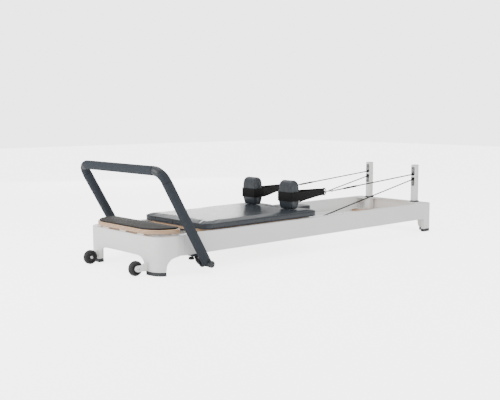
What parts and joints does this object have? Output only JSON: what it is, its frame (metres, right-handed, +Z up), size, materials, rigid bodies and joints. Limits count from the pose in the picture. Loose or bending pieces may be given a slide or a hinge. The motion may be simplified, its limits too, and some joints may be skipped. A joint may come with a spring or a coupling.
{
  "type": "pilates reformer",
  "caption": "Pilates reformer: low frame, sprung padded carriage on rollers, shoulder rests with straps, roped risers, folding footbar, transport wheels.",
  "frame": {"origin": "on the floor under the middle of the machine, 12.5 mm towards the foot end from the middle of its bounding box", "axes": "+X from the foot end to the head end, +Y to the left seen from the foot end, +Z up"},
  "size_m": [2.485, 0.866, 0.5755],
  "materials": {
    "frame_white": "satin powder coat",
    "rail_white": "satin powder coat",
    "rubber": "matt",
    "tyre": "matt",
    "plywood": "clear lacquered birch plywood",
    "grip_mat": "grained",
    "vinyl": "satin upholstery vinyl",
    "foam": "matt closed-cell foam",
    "coated_steel": "satin",
    "steel": "zinc plated",
    "webbing": "woven",
    "rope": "braided",
    "black_plastic": "moulded",
    "spring_steel": "drawn wire"
  },
  "bodies": {
    "frame": {"foot_end_casting": "frame_white", "head_end_casting": "frame_white", "rail_left": "rail_white", "rail_right": "rail_white", "cross_member": "rail_white", "springbar": "steel", "platform_board": "plywood", "platform_grip_mat": "grip_mat", "foot_end_foot_left": "rubber", "foot_end_foot_right": "rubber", "head_end_foot_left": "rubber", "head_end_foot_right": "rubber", "wheel_arm_left": "frame_white", "wheel_arm_right": "frame_white", "riser_tube_left": "frame_white", "riser_tube_right": "frame_white", "riser_gasket_left": "rubber", "riser_gasket_right": "rubber", "head_shelf": "plywood"},
    "carriage": {"carriage_board": "plywood", "carriage_pad": "vinyl", "carriage_crossbar_foot": "coated_steel", "carriage_crossbar_head": "coated_steel", "spring_anchor_bar": "coated_steel", "spring_1": "spring_steel", "spring_2": "spring_steel", "spring_3": "spring_steel", "spring_4": "spring_steel", "strap_loop_left": "webbing", "strap_loop_right": "webbing", "strap_ring_left": "black_plastic", "strap_ring_right": "black_plastic", "snap_hook_left": "steel", "snap_hook_right": "steel", "rope_left": "rope", "rope_right": "rope"},
    "headrest": {"headrest_pad": "vinyl", "headrest_board": "plywood"},
    "rest_left": {"shoulder_rest_left": "vinyl"},
    "rest_right": {"shoulder_rest_right": "vinyl"},
    "roller_foot_left": {"roller_foot_left": "tyre"},
    "roller_foot_right": {"roller_foot_right": "tyre"},
    "roller_head_left": {"roller_head_left": "tyre"},
    "roller_head_right": {"roller_head_right": "tyre"},
    "pulley_left": {"pulley_left": "black_plastic"},
    "pulley_right": {"pulley_right": "black_plastic"},
    "wheel_left": {"wheel_tyre_left": "tyre", "wheel_hub_left": "black_plastic"},
    "wheel_right": {"wheel_tyre_right": "tyre", "wheel_hub_right": "black_plastic"},
    "slider": {"footbar_slider": "coated_steel"},
    "footbar": {"footbar_arm_left": "foam", "footbar_arm_right": "foam", "footbar_elbow_left": "coated_steel", "footbar_elbow_right": "coated_steel", "footbar_grip": "foam"},
    "knob_left": {"clamp_knob_left": "black_plastic"},
    "knob_right": {"clamp_knob_right": "black_plastic"},
    "pin_left": {"lock_pin_left": "steel"},
    "pin_right": {"lock_pin_right": "steel"}
  },
  "joints": [
    {"name": "carriage_slide", "type": "slide", "parent": "frame", "child": "carriage", "axis": [1, 0, 0], "range_m": [0, 0.75], "stiffness_N_per_m": 250, "springref_m": -0.05, "deforming": ["spring_1", "spring_2", "spring_3", "spring_4", "rope_left", "rope_right"]},
    {"name": "headrest_tilt", "type": "hinge", "parent": "carriage", "child": "headrest", "pos_m": [0.0208, 0, 0.244], "axis": [0, -1, 0], "range_deg": [0, 40]},
    {"name": "rest_lift_left", "type": "slide", "parent": "carriage", "child": "rest_left", "axis": [0, 0, 1], "range_m": [0, 0.05]},
    {"name": "rest_lift_right", "type": "slide", "parent": "carriage", "child": "rest_right", "axis": [0, 0, 1], "range_m": [0, 0.05]},
    {"name": "roller_spin_foot_left", "type": "hinge", "parent": "carriage", "child": "roller_foot_left", "pos_m": [-0.7, 0.276, 0.1463], "axis": [0, 1, 0], "continuous": true},
    {"name": "roller_spin_foot_right", "type": "hinge", "parent": "carriage", "child": "roller_foot_right", "pos_m": [-0.7, -0.276, 0.1463], "axis": [0, 1, 0], "continuous": true},
    {"name": "roller_spin_head_left", "type": "hinge", "parent": "carriage", "child": "roller_head_left", "pos_m": [-0.02, 0.276, 0.1463], "axis": [0, 1, 0], "continuous": true},
    {"name": "roller_spin_head_right", "type": "hinge", "parent": "carriage", "child": "roller_head_right", "pos_m": [-0.02, -0.276, 0.1463], "axis": [0, 1, 0], "continuous": true},
    {"name": "pulley_spin_left", "type": "hinge", "parent": "frame", "child": "pulley_left", "pos_m": [1.212, 0.21, 0.387], "axis": [0, 1, 0], "continuous": true},
    {"name": "pulley_spin_right", "type": "hinge", "parent": "frame", "child": "pulley_right", "pos_m": [1.212, -0.21, 0.387], "axis": [0, 1, 0], "continuous": true},
    {"name": "wheel_spin_left", "type": "hinge", "parent": "frame", "child": "wheel_left", "pos_m": [-1.19, 0.225, 0.0405], "axis": [0, 1, 0], "continuous": true},
    {"name": "wheel_spin_right", "type": "hinge", "parent": "frame", "child": "wheel_right", "pos_m": [-1.19, -0.225, 0.0405], "axis": [0, 1, 0], "continuous": true},
    {"name": "footbar_slide", "type": "slide", "parent": "frame", "child": "slider", "axis": [1, 0, 0], "range_m": [0, 0.25]},
    {"name": "footbar_fold", "type": "hinge", "parent": "slider", "child": "footbar", "pos_m": [-0.845, 0, 0.045], "axis": [0, 1, 0], "range_deg": [-35, 60]},
    {"name": "knob_turn_left", "type": "hinge", "parent": "slider", "child": "knob_left", "pos_m": [-0.885, 0.305, 0.068], "axis": [0, 0, 1], "continuous": true},
    {"name": "knob_turn_right", "type": "hinge", "parent": "slider", "child": "knob_right", "pos_m": [-0.885, -0.305, 0.068], "axis": [0, 0, 1], "continuous": true},
    {"name": "pin_pull_left", "type": "slide", "parent": "slider", "child": "pin_left", "axis": [0, -1, 0], "range_m": [0, 0.006], "stiffness_N_per_m": 300, "springref_m": -0.004},
    {"name": "pin_pull_right", "type": "slide", "parent": "slider", "child": "pin_right", "axis": [0, 1, 0], "range_m": [0, 0.006], "stiffness_N_per_m": 300, "springref_m": -0.004}
  ],
  "couplings": [
    {"joint": "roller_spin_foot_left", "follows": "carriage_slide", "rad_per_m": 45.455},
    {"joint": "roller_spin_foot_right", "follows": "carriage_slide", "rad_per_m": 45.455},
    {"joint": "roller_spin_head_left", "follows": "carriage_slide", "rad_per_m": 45.455},
    {"joint": "roller_spin_head_right", "follows": "carriage_slide", "rad_per_m": 45.455}
  ]
}
